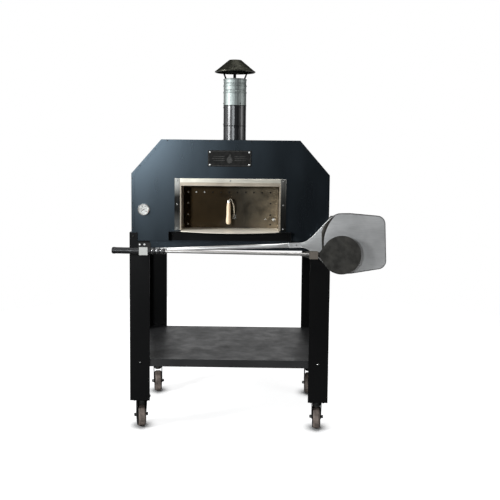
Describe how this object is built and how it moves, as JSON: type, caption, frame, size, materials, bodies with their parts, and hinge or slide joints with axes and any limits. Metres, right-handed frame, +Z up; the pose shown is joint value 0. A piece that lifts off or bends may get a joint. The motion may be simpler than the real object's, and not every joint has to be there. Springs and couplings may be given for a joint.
{
  "type": "wood fired pizza oven",
  "caption": "Vaulted wood burning oven with a lift-out door, thermometer and chimney, on a wheeled steel stand with a log shelf and two hanging peels.",
  "frame": {"origin": "on the floor under the middle of the box round the whole object, hung peels included", "axes": "+Z up, the oven's mouth faces -Y, +X to the right seen from the front"},
  "size_m": [1.4157, 0.871, 2.011],
  "materials": {
    "powder_coat": "satin black powder coat",
    "stainless": "brushed, lightly heat-tinted",
    "galvanised": "galvanised sheet",
    "heat_paint": "gloss black stove paint",
    "cowl_steel": "weathered olive-black",
    "firebrick": "matte fired clay",
    "ceramic_wool": "matte fibrous",
    "zinc": "zinc plated",
    "fork_steel": "dark plated",
    "tyre": "matte",
    "bronze_plate": "dark cast plate",
    "dial_white": "matte white",
    "needle_black": "matte black",
    "gauge_glass": "clear",
    "beech": "oiled",
    "peel_aluminium": "brushed",
    "heat_stained_steel": "dark heat-stained",
    "grip_black": "moulded"
  },
  "bodies": {
    "oven": {"leg_front_left": "powder_coat", "caster_plate_front_left": "zinc", "leg_front_right": "powder_coat", "caster_plate_front_right": "zinc", "leg_back_left": "powder_coat", "caster_plate_back_left": "zinc", "leg_back_right": "powder_coat", "caster_plate_back_right": "zinc", "top_frame": "powder_coat", "lower_shelf": "powder_coat", "outer_shell": "powder_coat", "front_panel": "powder_coat", "back_panel": "powder_coat", "landing_bracket": "powder_coat", "oven_vault": "stainless", "throat_liner": "stainless", "trim_left": "stainless", "trim_right": "stainless", "trim_top": "stainless", "landing_plate": "stainless", "gauge_case": "stainless", "hook_left": "stainless", "hook_right": "stainless", "base_pan": "galvanised", "flue_upper": "galvanised", "flue_collar": "heat_paint", "flue_middle": "heat_paint", "cowl_cone": "cowl_steel", "cowl_struts": "cowl_steel", "base_insulation": "ceramic_wool", "blanket_insulation": "ceramic_wool", "hearth_slab": "firebrick", "throat_sill": "firebrick", "nameplate": "bronze_plate", "gauge_dial": "dial_white", "gauge_lens": "gauge_glass"},
    "swivel_front_left": {"caster_fork_front_left": "fork_steel", "caster_axle_front_left": "zinc"},
    "wheel_front_left": {"caster_wheel_front_left": "tyre"},
    "swivel_front_right": {"caster_fork_front_right": "fork_steel", "caster_axle_front_right": "zinc"},
    "wheel_front_right": {"caster_wheel_front_right": "tyre"},
    "swivel_back_left": {"caster_fork_back_left": "fork_steel", "caster_axle_back_left": "zinc"},
    "wheel_back_left": {"caster_wheel_back_left": "tyre"},
    "swivel_back_right": {"caster_fork_back_right": "fork_steel", "caster_axle_back_right": "zinc"},
    "wheel_back_right": {"caster_wheel_back_right": "tyre"},
    "door": {"door_panel": "stainless", "door_core": "galvanised", "door_handle_bracket": "stainless", "door_handle_grip": "beech"},
    "shutter": {"vent_shutter": "stainless"},
    "needle": {"gauge_needle": "needle_black"},
    "large_peel": {"large_peel_blade": "peel_aluminium", "large_peel_handle": "peel_aluminium", "large_peel_grip": "grip_black"},
    "turning_peel": {"turning_peel_blade": "heat_stained_steel", "turning_peel_rod": "stainless", "turning_peel_grip": "grip_black"}
  },
  "joints": [
    {"name": "swivel_turn_front_left", "type": "hinge", "parent": "oven", "child": "swivel_front_left", "pos_m": [-0.5798, -0.2675, 0.13], "axis": [0, 0, 1], "continuous": true},
    {"name": "wheel_spin_front_left", "type": "hinge", "parent": "swivel_front_left", "child": "wheel_front_left", "pos_m": [-0.58756, -0.23852, 0.0625], "axis": [0.9659, 0.2588, 0], "continuous": true},
    {"name": "swivel_turn_front_right", "type": "hinge", "parent": "oven", "child": "swivel_front_right", "pos_m": [0.3712, -0.2675, 0.13], "axis": [0, 0, 1], "continuous": true},
    {"name": "wheel_spin_front_right", "type": "hinge", "parent": "swivel_front_right", "child": "wheel_front_right", "pos_m": [0.37277, -0.23754, 0.0625], "axis": [0.9986, -0.0523, 0], "continuous": true},
    {"name": "swivel_turn_back_left", "type": "hinge", "parent": "oven", "child": "swivel_back_left", "pos_m": [-0.5798, 0.3855, 0.13], "axis": [0, 0, 1], "continuous": true},
    {"name": "wheel_spin_back_left", "type": "hinge", "parent": "swivel_back_left", "child": "wheel_back_left", "pos_m": [-0.57459, 0.35596, 0.0625], "axis": [-0.9848, -0.1736, 0], "continuous": true},
    {"name": "swivel_turn_back_right", "type": "hinge", "parent": "oven", "child": "swivel_back_right", "pos_m": [0.3712, 0.3855, 0.13], "axis": [0, 0, 1], "continuous": true},
    {"name": "wheel_spin_back_right", "type": "hinge", "parent": "swivel_back_right", "child": "wheel_back_right", "pos_m": [0.36702, 0.35579, 0.0625], "axis": [-0.9903, 0.1392, 0], "continuous": true},
    {"name": "door_pull_out", "type": "slide", "parent": "oven", "child": "door", "axis": [0, -1, 0], "range_m": [0, 0.35]},
    {"name": "vent_shutter_swing", "type": "hinge", "parent": "door", "child": "shutter", "pos_m": [0.0837, -0.1675, 1.1363], "axis": [0, 1, 0], "range_deg": [-60, 0]},
    {"name": "gauge_needle_turn", "type": "hinge", "parent": "oven", "child": "needle", "pos_m": [-0.5582, -0.3175, 1.1965], "axis": [0, 1, 0], "range_deg": [0, 250]},
    {"name": "large_peel_lift", "type": "slide", "parent": "oven", "child": "large_peel", "axis": [0, 0, 1], "range_m": [0, 0.048]},
    {"name": "turning_peel_lift", "type": "slide", "parent": "oven", "child": "turning_peel", "axis": [0, 0, 1], "range_m": [0, 0.048]}
  ]
}
